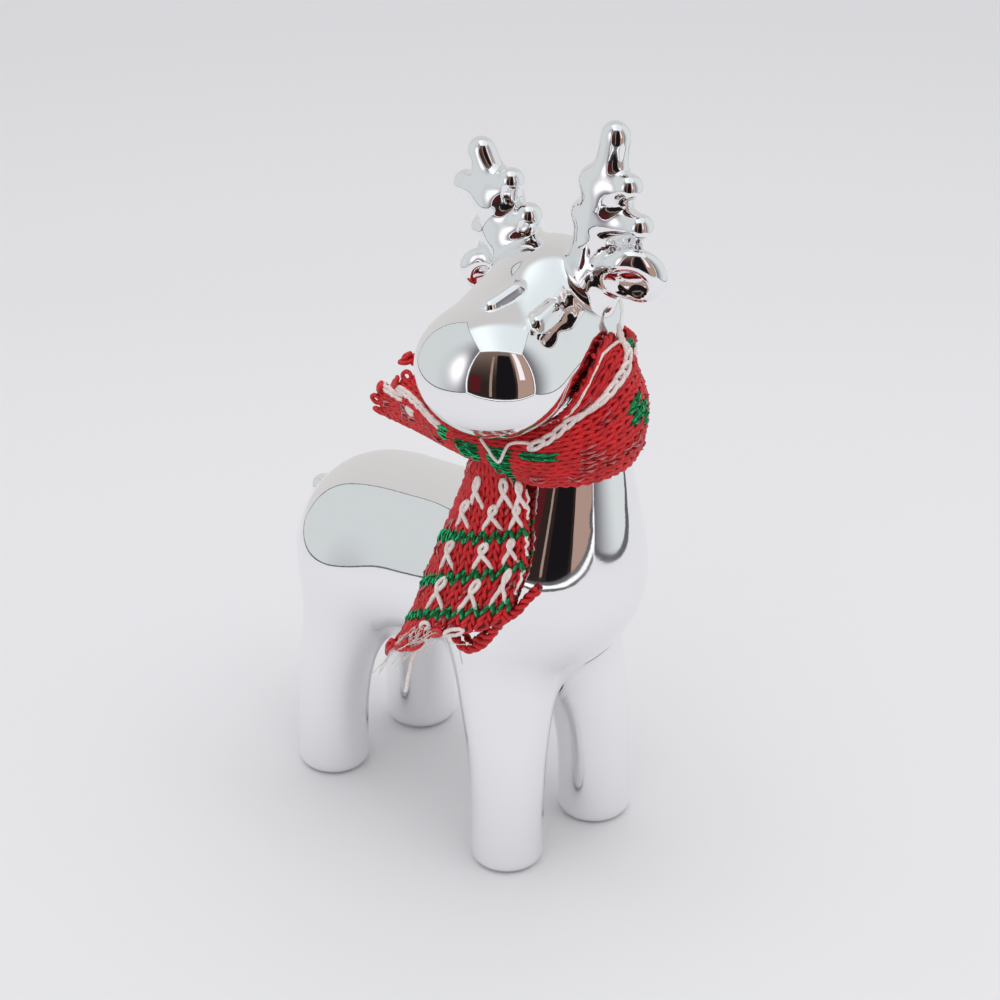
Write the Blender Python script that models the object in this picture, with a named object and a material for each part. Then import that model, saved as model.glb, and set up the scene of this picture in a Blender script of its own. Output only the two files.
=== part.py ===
"""Standing reindeer figurine with a knitted scarf.

The reindeer is one hollow slip-cast ceramic figure: a barrel body on four stubby legs, a long neck and a
head turned to its right side, with ears, eyes, lobed antlers and a stub tail. The scarf is one knitted
strip wound once round the neck, with two free ends. It only rests on the figure.

Metres, +Z up. The body faces -Y and the animal's right side is -X.
"""

import bpy
import numpy as np

MM = 0.001

# Stance and legs
TRACK = 25.4 * MM
WHEELBASE = 51.6 * MM
FOOT_RADIUS = 7.4 * MM
FOOT_CENTRE_HEIGHT = 2.4 * MM
SOLE_EDGE_ROUND = 4.5 * MM
SOLE_GROUND_OFF = 0.2 * MM
SOLE_FLATNESS = 0.08 * MM
HIP_HEIGHT = 50.0 * MM
HIP_SPREAD = 16.8 * MM
FRONT_HIP_SETBACK = 4.3 * MM
FRONT_HIP_RADIUS = 11.0 * MM
REAR_HIP_SETBACK = 4.5 * MM
REAR_HIP_RADIUS = 10.6 * MM
LEG_FILLET = 11.0 * MM

# Barrel body, neck and tail
CHEST = np.array((0.0, -24.5, 59.0)) * MM
CHEST_RADIUS = 16.8 * MM
RUMP = np.array((0.0, 21.0, 50.9)) * MM
RUMP_RADIUS = 18.3 * MM
NECK_BASE = np.array((0.0, -27.0, 66.0)) * MM
NECK_BASE_RADIUS = 16.5 * MM
NECK_TOP = np.array((0.0, -31.5, 106.0)) * MM
NECK_TOP_RADIUS = 9.5 * MM
NECK_FILLET = 14.0 * MM
TAIL_ROOT = np.array((0.0, 36.0, 57.0)) * MM
TAIL_TIP = np.array((0.0, 41.0, 55.5)) * MM
TAIL_ROOT_RADIUS = 3.2 * MM
TAIL_TIP_RADIUS = 2.6 * MM
TAIL_FILLET = 3.0 * MM

# Head, turned to the animal's right and bowed
HEAD_TURN_DEG = 78.0
HEAD_BOW_DEG = 24.0
HEAD_TILT_DEG = 6.0
SKULL = np.array((0.0, -24.5, 119.6)) * MM
SKULL_RADII = np.array((13.0, 12.3, 12.4)) * MM
MUZZLE = np.array((-18.0, -26.7, 111.9)) * MM
MUZZLE_RADII = np.array((12.5, 15.3, 12.8)) * MM
CHEEKS = np.array((-8.5, -25.8, 115.0)) * MM
CHEEK_RADII = np.array((14.0, 14.2, 12.0)) * MM
JAW = np.array((1.0, -25.2, 114.8)) * MM
JAW_RADII = np.array((12.0, 12.6, 12.0)) * MM
MUZZLE_FILLET = 8.0 * MM
CHEEK_FILLET = 6.0 * MM
HEAD_FILLET = 5.0 * MM

# Eyes, two low ovals raised on the face: each runs from its lower to its upper end
EYES = (
    (np.array((-18.2, -26.6, 125.8)) * MM, np.array((-12.9, -27.6, 127.6)) * MM),
    (np.array((-14.2, -35.6, 123.8)) * MM, np.array((-10.3, -35.2, 124.8)) * MM),
)
EYE_RADIUS = 2.0 * MM
EYE_SINK = 0.6 * MM
EYE_FILLET = 0.7 * MM

# Antlers: flat stems with four round lobes each, in the plane of the mould's parting
ANTLER_ROOT_RADIUS = 5.8 * MM
ANTLER_TIP_RADIUS = 3.0 * MM
ANTLER_FLATTENING = 0.85
LOBE_ROOT_RADIUS = 4.4 * MM
LOBE_TIP_RADIUS = 2.5 * MM
LOBE_RISE = 3.2 * MM
LOBE_FILLET = 3.0 * MM
ANTLER_FILLET = 3.0 * MM
ANTLERS = (
    {"root": np.array((1.0, -16.0, 124.0)) * MM, "tip": np.array((1.0, -5.4, 143.9)) * MM,
     "lobes": np.array(((0.0, -2.2, 137.0), (0.0, -14.2, 140.9),
                        (0.0, -6.9, 129.3), (0.0, -18.9, 135.2))) * MM},
    {"root": np.array((1.0, -34.5, 126.0)) * MM, "tip": np.array((1.0, -39.6, 156.6)) * MM,
     "lobes": np.array(((0.0, -35.0, 147.3), (0.0, -44.1, 148.4),
                        (0.0, -33.0, 140.2), (0.0, -46.9, 141.4))) * MM},
)

# Ears: flat leaves with a scooped front
EAR_ROOT_RADIUS = 3.8 * MM
REAR_EAR_RADIUS = 5.2 * MM
FRONT_EAR_RADIUS = 6.1 * MM
EAR_FLATTENING = 0.55
EAR_FILLET = 2.5 * MM
SCOOP_SETBACK = 6.6 * MM
SCOOP_TIP_SETBACK = 0.8 * MM
SCOOP_ROOT_RADIUS = 4.6 * MM
SCOOP_TIP_RADIUS = 5.2 * MM
SCOOP_FILLET = 2.2 * MM
EARS = (
    {"root": np.array((1.0, -15.0, 121.5)) * MM, "tip": np.array((-1.0, -8.4, 121.0)) * MM,
     "radius": REAR_EAR_RADIUS},
    {"root": np.array((1.0, -35.0, 127.5)) * MM, "tip": np.array((-1.0, -46.7, 132.0)) * MM,
     "radius": FRONT_EAR_RADIUS},
)

# Scarf: one strip, wound once round the neck
SCARF_THICKNESS = 2.6 * MM
SCARF_CLEARANCE = 0.45 * MM
WRAP_AXIS = np.array((0.0, -30.0)) * MM
WRAP_RADIUS = 12.6 * MM
WRAP_OVERLAP_STEP = 2.6 * MM
WRAP_BULGE = 3.8 * MM
WRAP_LEAN = 5.4 * MM
WRAP_LOW_HEIGHT = 90.4 * MM
WRAP_HIGH_HEIGHT = 108.4 * MM
WRAP_TILT = 5.5 * MM
WRAP_TILT_DIRECTION_DEG = -15.0
WRAP_JAW_RISE = 3.0 * MM
WRAP_JAW_DIRECTION_DEG = -80.0
WRAP_JAW_SPREAD_DEG = 32.0
WRAP_STEP_DEG = 25
# Free end that stands out behind the muzzle, then the one that hangs over the right shoulder. Each row is
# the lower or rear edge, then the upper or front edge.
SIDE_END = np.array((
    ((-15.5, 4.2, 90.6), (-11.0, 2.4, 103.5)),
    ((-17.6, -8.0, 92.2), (-13.5, -8.5, 103.5)),
    ((-17.6, -21.0, 91.8), (-16.6, -20.0, 101.0)),
)) * MM
HANGING_END = np.array((
    ((-15.0, -20.0, 89.5), (-14.0, -31.0, 95.0)),
    ((-15.8, -17.8, 84.0), (-14.2, -32.5, 87.0)),
    ((-17.1, -12.9, 71.4), (-14.6, -33.6, 79.7)),
    ((-18.6, -8.9, 59.2), (-16.2, -34.5, 72.9)),
    ((-19.2, -4.9, 49.4), (-18.6, -32.9, 64.2)),
    ((-19.6, -1.6, 43.4), (-19.4, -32.5, 61.2)),
)) * MM

# Mesh fineness
BLOCK_CELL = 1.25 * MM
BLOCK_MARGIN = 4.0 * MM
FIGURE_CELL = 1.0 * MM
SCARF_CELL = 0.9 * MM
FIGURE_TRIANGLES = 6400
SCARF_TRIANGLES = 2000
STRIP_ROWS_PER_STATION = 4
STRIP_COLUMNS = 8


def length(v):
    return np.sqrt((v * v).sum(-1))


def soft_limits(t, ease):
    """Clamp t to 0..1, with both corners eased so that a limb's curvature never jumps."""
    def ramp(x):
        return np.where(x <= -ease, 0, np.where(x >= ease, x, (x + ease) ** 2 / (4 * ease)))
    return ramp(t) - ramp(t - 1)


def limb(p, start, end, start_radius, end_radius, ease=0.12, flat=None, squash=1.0):
    """Distance to a tapered round limb, pressed flat along one direction where asked."""
    axis = end - start
    along = soft_limits(((p - start) @ axis) / (axis @ axis), ease)
    grow = along * along * (3 - 2 * along)
    off = p - (start + along[..., None] * axis)
    if flat is not None:
        off = off + ((1 / squash - 1) * (off @ flat))[..., None] * flat
    return length(off) - (start_radius + (end_radius - start_radius) * grow)


def post(p, foot, hip, hip_radius, bend=2.2):
    """Distance to a leg that stands upright and round, and leans in and widens only near its hip."""
    along = soft_limits((p[..., 2] - foot[2]) / (hip[2] - foot[2]), 0.05)
    grow = (along * along * (3 - 2 * along)) ** bend
    centre = foot + (hip - foot) * np.stack([grow, grow, along], -1)
    return length(p - centre) - (FOOT_RADIUS + (hip_radius - FOOT_RADIUS) * grow)


def egg(p, centre, radii, turn):
    q = (p - centre) @ turn
    inner = length(q / radii)
    return inner * (inner - 1) / np.maximum(length(q / radii ** 2), 1e-9)


def blend(a, b, fillet):
    """Join two forms with a fillet that keeps the curvature smooth."""
    near = np.maximum(fillet - np.abs(a - b), 0) / fillet
    return np.minimum(a, b) - near ** 3 * fillet / 6


def carve(a, b, fillet):
    """Cut form b out of form a."""
    return -blend(-a, b, fillet)


def unit(v):
    return v / np.linalg.norm(v)


def turned_axes(turn_deg, bow_deg, tilt_deg):
    """Columns: ahead, left and up of a head turned to the right, bowed and tilted."""
    turn, bow, tilt = np.radians([turn_deg, bow_deg, tilt_deg])
    ahead = np.array([-np.sin(turn) * np.cos(bow), -np.cos(turn) * np.cos(bow), -np.sin(bow)])
    side = np.array([np.cos(turn), -np.sin(turn), 0.0])
    left = side * np.cos(tilt) + np.cross(ahead, side) * np.sin(tilt)
    return np.stack([ahead, left, np.cross(ahead, left)], 1)


HEAD_AXES = turned_axes(HEAD_TURN_DEG, HEAD_BOW_DEG, HEAD_TILT_DEG)


def torso(p):
    d = limb(p, CHEST, RUMP, CHEST_RADIUS, RUMP_RADIUS, 0.2)
    d = blend(d, limb(p, NECK_BASE, NECK_TOP, NECK_BASE_RADIUS, NECK_TOP_RADIUS, 0.1), NECK_FILLET)
    ends = ((-1, FRONT_HIP_SETBACK, FRONT_HIP_RADIUS), (1, REAR_HIP_SETBACK, REAR_HIP_RADIUS))
    for end, setback, hip_radius in ends:
        for side in (-1, 1):
            foot = np.array((side * TRACK / 2, end * WHEELBASE / 2, FOOT_CENTRE_HEIGHT))
            hip = np.array((side * HIP_SPREAD / 2, end * (WHEELBASE / 2 - setback), HIP_HEIGHT))
            leg = carve(post(p, foot, hip, hip_radius), p[..., 2], SOLE_EDGE_ROUND)
            d = blend(d, leg, LEG_FILLET)
    return blend(d, limb(p, TAIL_ROOT, TAIL_TIP, TAIL_ROOT_RADIUS, TAIL_TIP_RADIUS), TAIL_FILLET)


def bare_head(p):
    skull = egg(p, SKULL, SKULL_RADII, HEAD_AXES)
    muzzle = egg(p, MUZZLE, MUZZLE_RADII, HEAD_AXES)
    d = blend(skull, muzzle, MUZZLE_FILLET)
    d = blend(d, egg(p, CHEEKS, CHEEK_RADII, HEAD_AXES), CHEEK_FILLET)
    return blend(d, egg(p, JAW, JAW_RADII, HEAD_AXES), CHEEK_FILLET)


def antler(p, root, tip, lobes):
    sideways = np.array((1.0, 0.0, 0.0))
    d = limb(p, root, tip, ANTLER_ROOT_RADIUS, ANTLER_TIP_RADIUS, 0.05, sideways, ANTLER_FLATTENING)
    axis = unit(tip - root)
    for lobe_tip in lobes:
        lobe_root = root + axis * ((lobe_tip - root) @ axis - LOBE_RISE)
        d = blend(d, limb(p, lobe_root, lobe_tip, LOBE_ROOT_RADIUS, LOBE_TIP_RADIUS, 0.1), LOBE_FILLET)
    return d


def ear(p, root, tip, radius):
    face = unit(HEAD_AXES[:, 0] + np.array((0, -0.35, 0.1)))
    leaf = limb(p, root, tip, EAR_ROOT_RADIUS, radius, 0.1, face, EAR_FLATTENING)
    out = unit(tip - root)
    scoop_root = tip - out * radius + face * SCOOP_SETBACK
    scoop_tip = tip - out * SCOOP_TIP_SETBACK + face * SCOOP_SETBACK
    scoop = limb(p, scoop_root, scoop_tip, SCOOP_ROOT_RADIUS, SCOOP_TIP_RADIUS, 0.2)
    return carve(leaf, scoop, SCOOP_FILLET)


def eye(p, lower, upper):
    ends = onto_surface(np.array((lower, upper)), bare_head, -EYE_SINK)
    return limb(p, ends[0], ends[1], EYE_RADIUS, EYE_RADIUS, 0.15)


def figure(p):
    """Signed distance to the whole casting, negative inside."""
    d = blend(torso(p), bare_head(p), HEAD_FILLET)
    for sizes in ANTLERS:
        d = blend(d, antler(p, **sizes), ANTLER_FILLET)
    for sizes in EARS:
        d = blend(d, ear(p, **sizes), EAR_FILLET)
    for lower, upper in EYES:
        d = blend(d, eye(p, lower, upper), EYE_FILLET)
    return d


def slope(p, form):
    step = 0.05 * MM
    out = np.empty_like(p)
    for k in range(3):
        shift = np.zeros(3)
        shift[k] = step
        out[:, k] = (form(p + shift) - form(p - shift)) / (2 * step)
    return out


def onto_surface(p, form, level=0.0, rounds=5, reach=0.7 * MM):
    """Pull points along the form's slope until they lie on its surface, or at a level above it."""
    for _ in range(rounds):
        g = slope(p, form)
        move = (form(p) - level)[:, None] * g / np.maximum((g * g).sum(1), 0.05)[:, None]
        p = p - move * np.minimum(1, reach / np.maximum(length(move), 1e-12))[:, None]
    return p


def out_of_surface(p, form, clearance, rounds=6):
    """Move only the points that lie closer to the form than the clearance."""
    for _ in range(rounds):
        d = form(p)
        close = d < clearance
        if not close.any():
            break
        g = slope(p[close], form)
        g = g / np.maximum(length(g), 0.2)[:, None]
        p[close] += g * (clearance - d[close])[:, None]
    return p


def smooth_path(stations, rows_per_station):
    """Catmull-Rom curve through a list of stations, each a small array of points."""
    stations = np.array(stations)
    padded = np.concatenate([2 * stations[:1] - stations[1:2], stations, 2 * stations[-1:] - stations[-2:-1]])
    rows = []
    for i in range(len(stations) - 1):
        a, b, c, d = padded[i:i + 4]
        for t in np.arange(rows_per_station) / rows_per_station:
            rows.append(0.5 * (2 * b + (c - a) * t + (2 * a - 5 * b + 4 * c - d) * t ** 2
                               + (3 * b - a - 3 * c + d) * t ** 3))
    rows.append(stations[-1])
    return np.array(rows)


def wrap_stations():
    """Lower and upper edge of the strip round the neck, from over the crossing to under it."""
    stations = []
    for angle_deg in range(-165, 171, WRAP_STEP_DEG):
        angle = np.radians(angle_deg)
        over = np.clip((-60 - angle_deg) / 105, 0, 1)
        radius = WRAP_RADIUS + WRAP_OVERLAP_STEP * over
        lift = WRAP_TILT * np.cos(angle - np.radians(WRAP_TILT_DIRECTION_DEG))
        rise = WRAP_JAW_RISE * np.exp(-((angle_deg - WRAP_JAW_DIRECTION_DEG) / WRAP_JAW_SPREAD_DEG) ** 2)
        outward = np.array((np.cos(angle), np.sin(angle)))
        low = np.append(WRAP_AXIS + radius * outward, WRAP_LOW_HEIGHT + 0.1 * lift)
        high = np.append(WRAP_AXIS + (radius - WRAP_LEAN) * outward, WRAP_HIGH_HEIGHT + lift + rise)
        stations.append((low, high))
    return stations


def scarf_surface():
    """Middle surface of the strip and its outward normals, as grids of rows and columns."""
    rows = smooth_path([*SIDE_END, *wrap_stations(), *HANGING_END], STRIP_ROWS_PER_STATION)
    across = np.linspace(0, 1, STRIP_COLUMNS + 1)
    grid = rows[:, 0, None] * (1 - across)[None, :, None] + rows[:, 1, None] * across[None, :, None]
    axis_point = np.append(WRAP_AXIS, 0)
    outward = grid - axis_point
    outward[..., 2] = 0
    outward /= length(outward)[..., None]
    grid = grid + outward * (WRAP_BULGE * (1 - (2 * across - 1) ** 2))[None, :, None]
    shape = grid.shape
    flat = out_of_surface(grid.reshape(-1, 3), figure, SCARF_CLEARANCE + SCARF_THICKNESS / 2)
    grid = flat.reshape(shape)
    along = np.gradient(grid, axis=0)
    sideways = np.gradient(grid, axis=1)
    normal = np.cross(sideways, along)
    return grid, normal / np.maximum(length(normal), 1e-12)[..., None]


def strip_solid_faces(rows, columns):
    """Faces of a closed thick strip: outer sheet, inner sheet and the rim between them."""
    def at(side, i, j):
        return side * rows * columns + i * columns + j
    faces = []
    for i in range(rows - 1):
        for j in range(columns - 1):
            faces.append((at(0, i, j), at(0, i, j + 1), at(0, i + 1, j + 1), at(0, i + 1, j)))
            faces.append((at(1, i, j), at(1, i + 1, j), at(1, i + 1, j + 1), at(1, i, j + 1)))
    rim = [(i, 0) for i in range(rows)]
    rim += [(rows - 1, j) for j in range(1, columns)]
    rim += [(i, columns - 1) for i in range(rows - 2, -1, -1)]
    rim += [(0, j) for j in range(columns - 2, 0, -1)]
    for here, after in zip(rim, rim[1:] + rim[:1]):
        faces.append((at(0, *here), at(0, *after), at(1, *after), at(1, *here)))
    return faces


def filled_cells(form, low, high, cell):
    """Blocks of the grid cells that lie inside a form, as one mesh of their outer faces."""
    count = np.ceil((high - low) / cell).astype(int)
    centres = np.stack(np.meshgrid(*[low[k] + cell * (np.arange(count[k]) + 0.5) for k in range(3)],
                                   indexing="ij"), -1)
    inside = np.zeros(count + 2, bool)
    inside[1:-1, 1:-1, 1:-1] = form(centres) < 0
    corners = {}
    faces = []
    for axis in range(3):
        first, second = (axis + 1) % 3, (axis + 2) % 3
        for sign in (1, -1):
            border = inside & ~np.roll(inside, -sign, axis)
            for cell_index in np.argwhere(border):
                face = []
                for a, b in ((0, 0), (1, 0), (1, 1), (0, 1))[::sign]:
                    corner = cell_index.copy()
                    corner[axis] += 1 if sign > 0 else 0
                    corner[first] += a
                    corner[second] += b
                    face.append(corners.setdefault(tuple(corner), len(corners)))
                faces.append(face)
    points = low + cell * (np.array(list(corners)) - 1.0)
    return points, faces


def new_object(name, points, faces, material):
    mesh = bpy.data.meshes.new(name)
    mesh.from_pydata([tuple(p) for p in points], [], faces)
    mesh.update()
    mesh.materials.append(material)
    obj = bpy.data.objects.new(name, mesh)
    bpy.context.scene.collection.objects.link(obj)
    return obj


def mesh_points(mesh):
    points = np.empty(len(mesh.vertices) * 3, np.float32)
    mesh.vertices.foreach_get("co", points)
    return points.reshape(-1, 3).astype(float)


def settle_modifier(obj, modifier):
    """Make a modifier's result the object's own mesh."""
    evaluated = obj.evaluated_get(bpy.context.evaluated_depsgraph_get())
    mesh = bpy.data.meshes.new_from_object(evaluated)
    obj.modifiers.remove(modifier)
    obj.data = mesh


def even_mesh(obj, cell):
    """Replace an object's mesh by an even voxel mesh of the same form."""
    remesh = obj.modifiers.new("Even mesh", "REMESH")
    remesh.mode = "VOXEL"
    remesh.voxel_size = cell
    settle_modifier(obj, remesh)


def reduce_to(obj, triangles):
    """Fewer triangles where the form is plain, with the soles kept flat."""
    now = sum(len(face.vertices) - 2 for face in obj.data.polygons)
    decimate = obj.modifiers.new("Fewer triangles", "DECIMATE")
    decimate.decimate_type = "COLLAPSE"
    decimate.ratio = min(1.0, triangles / now)
    decimate.use_collapse_triangulate = True
    settle_modifier(obj, decimate)
    points = mesh_points(obj.data)
    points[points[:, 2] < SOLE_FLATNESS, 2] = 0.0
    obj.data.vertices.foreach_set("co", points.ravel())
    obj.data.update()
    obj.data.shade_smooth()


def make_material(name, colour, roughness, metallic):
    material = bpy.data.materials.new(name)
    material.use_nodes = True
    shader = material.node_tree.nodes["Principled BSDF"]
    shader.inputs["Base Color"].default_value = (*colour, 1.0)
    shader.inputs["Roughness"].default_value = roughness
    shader.inputs["Metallic"].default_value = metallic
    return material


def figure_box():
    """Low and high corner of a box that holds the whole casting with its fillets."""
    balls = [(CHEST, CHEST_RADIUS), (RUMP, RUMP_RADIUS), (NECK_BASE, NECK_BASE_RADIUS),
             (TAIL_TIP, TAIL_TIP_RADIUS), (SKULL, SKULL_RADII.max()), (MUZZLE, MUZZLE_RADII.max()),
             (CHEEKS, CHEEK_RADII.max()), (JAW, JAW_RADII.max())]
    balls += [(np.array((side * TRACK / 2, end * WHEELBASE / 2, FOOT_CENTRE_HEIGHT)), FOOT_RADIUS)
              for side in (-1, 1) for end in (-1, 1)]
    for sizes in ANTLERS:
        balls += [(place, ANTLER_TIP_RADIUS) for place in (sizes["tip"], *sizes["lobes"])]
    balls += [(sizes["tip"], sizes["radius"]) for sizes in EARS]
    places = np.array([place for place, _ in balls])
    radii = np.array([radius for _, radius in balls])[:, None]
    return (places - radii).min(0) - BLOCK_MARGIN, (places + radii).max(0) + BLOCK_MARGIN


def make_reindeer():
    points, faces = filled_cells(figure, *figure_box(), BLOCK_CELL)
    silver = make_material("electroplated silver", (0.93, 0.93, 0.94), 0.04, 1.0)
    obj = new_object("reindeer", points, faces, silver)
    even_mesh(obj, FIGURE_CELL)
    points = onto_surface(mesh_points(obj.data), figure)
    points[:, 2] = np.maximum(points[:, 2], SOLE_GROUND_OFF) - SOLE_GROUND_OFF
    obj.data.vertices.foreach_set("co", points.ravel())
    return obj


def make_scarf():
    grid, normal = scarf_surface()
    half = SCARF_THICKNESS / 2
    rows, columns = grid.shape[:2]
    points = np.concatenate([(grid + normal * half).reshape(-1, 3), (grid - normal * half).reshape(-1, 3)])
    red = make_material("red knitted yarn", (0.55, 0.02, 0.03), 0.7, 0.0)
    obj = new_object("scarf", points, strip_solid_faces(rows, columns), red)
    even_mesh(obj, SCARF_CELL)
    points = out_of_surface(mesh_points(obj.data), figure, SCARF_CLEARANCE)
    points[:, 2] -= SOLE_GROUND_OFF
    obj.data.vertices.foreach_set("co", points.ravel())
    return obj


def centre_on_origin(objects):
    """Middle of the whole model's footprint over the origin."""
    points = np.concatenate([mesh_points(obj.data) for obj in objects])
    middle = (points.min(0) + points.max(0)) / 2
    for obj in objects:
        moved = mesh_points(obj.data) - (middle[0], middle[1], 0)
        obj.data.vertices.foreach_set("co", moved.ravel())


for old in list(bpy.data.objects):
    bpy.data.objects.remove(old, do_unlink=True)

reindeer = make_reindeer()
scarf = make_scarf()
centre_on_origin((reindeer, scarf))
reduce_to(reindeer, FIGURE_TRIANGLES)
reduce_to(scarf, SCARF_TRIANGLES)
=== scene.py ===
import bmesh
import bpy
import numpy as np
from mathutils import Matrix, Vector


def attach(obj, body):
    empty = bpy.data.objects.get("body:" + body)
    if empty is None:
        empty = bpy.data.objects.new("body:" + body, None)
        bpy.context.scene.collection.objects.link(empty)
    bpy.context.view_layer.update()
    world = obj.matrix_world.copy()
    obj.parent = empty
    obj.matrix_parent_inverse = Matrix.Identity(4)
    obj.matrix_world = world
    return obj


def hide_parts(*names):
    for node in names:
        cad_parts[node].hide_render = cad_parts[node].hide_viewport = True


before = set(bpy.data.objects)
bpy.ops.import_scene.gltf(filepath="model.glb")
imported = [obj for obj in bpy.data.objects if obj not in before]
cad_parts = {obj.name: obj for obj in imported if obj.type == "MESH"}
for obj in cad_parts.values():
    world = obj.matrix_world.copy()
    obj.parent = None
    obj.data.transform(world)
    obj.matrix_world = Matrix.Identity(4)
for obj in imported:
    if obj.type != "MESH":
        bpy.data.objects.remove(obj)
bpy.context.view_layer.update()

# Camera: it stands ahead of the figure's right shoulder and well above it, with a long lens, and looks at the
# middle of the neck.
MM = 0.001
CAMERA_AZIMUTH_DEG = -45.12
CAMERA_ELEVATION_DEG = 28.34
CAMERA_DISTANCE = 650 * MM
CAMERA_LENS_MM = 117.0
CAMERA_SENSOR_MM = 36.0
CAMERA_AIM = np.array((9.83, -2.09, 68.0)) * MM

azimuth, elevation = np.radians([CAMERA_AZIMUTH_DEG, CAMERA_ELEVATION_DEG])
towards_camera = np.array((np.sin(azimuth) * np.cos(elevation), -np.cos(azimuth) * np.cos(elevation),
                           np.sin(elevation)))
camera_data = bpy.data.cameras.new("Camera")
camera_data.lens = CAMERA_LENS_MM
camera_data.sensor_width = CAMERA_SENSOR_MM
camera_data.clip_start = 10 * MM
camera = bpy.data.objects.new("Camera", camera_data)
camera.location = CAMERA_AIM + towards_camera * CAMERA_DISTANCE
camera.rotation_euler = Vector(-towards_camera).to_track_quat("-Z", "Y").to_euler()
bpy.context.scene.collection.objects.link(camera)
bpy.context.scene.camera = camera

# Reindeer: one hollow slip-cast ceramic figure, glazed and electroplated to a silver mirror. Body, legs,
# neck, head, ears, eyes, antlers and tail are one casting, so they are one smooth skin. The sizes are the
# casting's own, measured from the middle between its feet.
TRACK = 25.4 * MM
WHEELBASE = 51.6 * MM
FOOT_RADIUS = 7.4 * MM
FOOT_CENTRE_HEIGHT = 2.4 * MM
SOLE_EDGE_ROUND = 4.5 * MM
SOLE_GROUND_OFF = 0.2 * MM
HIP_HEIGHT = 50.0 * MM
HIP_SPREAD = 16.8 * MM
FRONT_HIP_SETBACK = 4.3 * MM
FRONT_HIP_RADIUS = 11.0 * MM
REAR_HIP_SETBACK = 4.5 * MM
REAR_HIP_RADIUS = 10.6 * MM
LEG_FILLET = 11.0 * MM
CHEST = np.array((0.0, -24.5, 59.0)) * MM
CHEST_RADIUS = 16.8 * MM
RUMP = np.array((0.0, 21.0, 50.9)) * MM
RUMP_RADIUS = 18.3 * MM
NECK_BASE = np.array((0.0, -27.0, 66.0)) * MM
NECK_BASE_RADIUS = 16.5 * MM
NECK_TOP = np.array((0.0, -31.5, 106.0)) * MM
NECK_TOP_RADIUS = 9.5 * MM
NECK_FILLET = 14.0 * MM
TAIL_ROOT = np.array((0.0, 36.0, 57.0)) * MM
TAIL_TIP = np.array((0.0, 41.0, 55.5)) * MM
TAIL_ROOT_RADIUS = 3.2 * MM
TAIL_TIP_RADIUS = 2.6 * MM
TAIL_FILLET = 3.0 * MM
HEAD_TURN_DEG = 78.0
HEAD_BOW_DEG = 24.0
HEAD_TILT_DEG = 6.0
SKULL = np.array((0.0, -24.5, 119.6)) * MM
SKULL_RADII = np.array((13.0, 12.3, 12.4)) * MM
MUZZLE = np.array((-18.0, -26.7, 111.9)) * MM
MUZZLE_RADII = np.array((12.5, 15.3, 12.8)) * MM
CHEEKS = np.array((-8.5, -25.8, 115.0)) * MM
CHEEK_RADII = np.array((14.0, 14.2, 12.0)) * MM
JAW = np.array((1.0, -25.2, 114.8)) * MM
JAW_RADII = np.array((12.0, 12.6, 12.0)) * MM
MUZZLE_FILLET = 8.0 * MM
CHEEK_FILLET = 6.0 * MM
HEAD_FILLET = 5.0 * MM
EYES = (
    (np.array((-18.2, -26.6, 125.8)) * MM, np.array((-12.9, -27.6, 127.6)) * MM),
    (np.array((-14.2, -35.6, 123.8)) * MM, np.array((-10.3, -35.2, 124.8)) * MM),
)
EYE_RADIUS = 2.0 * MM
EYE_SINK = 0.6 * MM
EYE_FILLET = 0.7 * MM
ANTLER_ROOT_RADIUS = 5.8 * MM
ANTLER_TIP_RADIUS = 3.0 * MM
ANTLER_FLATTENING = 0.85
LOBE_ROOT_RADIUS = 4.4 * MM
LOBE_TIP_RADIUS = 2.5 * MM
LOBE_RISE = 3.2 * MM
LOBE_FILLET = 3.0 * MM
ANTLER_FILLET = 3.0 * MM
ANTLERS = (
    {"root": np.array((1.0, -16.0, 124.0)) * MM, "tip": np.array((1.0, -5.4, 143.9)) * MM,
     "lobes": np.array(((0.0, -2.2, 137.0), (0.0, -14.2, 140.9),
                        (0.0, -6.9, 129.3), (0.0, -18.9, 135.2))) * MM},
    {"root": np.array((1.0, -34.5, 126.0)) * MM, "tip": np.array((1.0, -39.6, 156.6)) * MM,
     "lobes": np.array(((0.0, -35.0, 147.3), (0.0, -44.1, 148.4),
                        (0.0, -33.0, 140.2), (0.0, -46.9, 141.4))) * MM},
)
EAR_ROOT_RADIUS = 3.8 * MM
REAR_EAR_RADIUS = 5.2 * MM
FRONT_EAR_RADIUS = 6.1 * MM
EAR_FLATTENING = 0.55
EAR_FILLET = 2.5 * MM
SCOOP_SETBACK = 6.6 * MM
SCOOP_TIP_SETBACK = 0.8 * MM
SCOOP_ROOT_RADIUS = 4.6 * MM
SCOOP_TIP_RADIUS = 5.2 * MM
SCOOP_FILLET = 2.2 * MM
EARS = (
    {"root": np.array((1.0, -15.0, 121.5)) * MM, "tip": np.array((-1.0, -8.4, 121.0)) * MM,
     "radius": REAR_EAR_RADIUS},
    {"root": np.array((1.0, -35.0, 127.5)) * MM, "tip": np.array((-1.0, -46.7, 132.0)) * MM,
     "radius": FRONT_EAR_RADIUS},
)
SKIN_CELL = 0.66 * MM
SILVER = (0.93, 0.93, 0.94, 1.0)


def length(v):
    return np.sqrt((v * v).sum(-1))


def soft_limits(t, ease):
    """Clamp t to 0..1, with both corners eased so that a limb's curvature never jumps."""
    def ramp(x):
        return np.where(x <= -ease, 0, np.where(x >= ease, x, (x + ease) ** 2 / (4 * ease)))
    return ramp(t) - ramp(t - 1)


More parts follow.
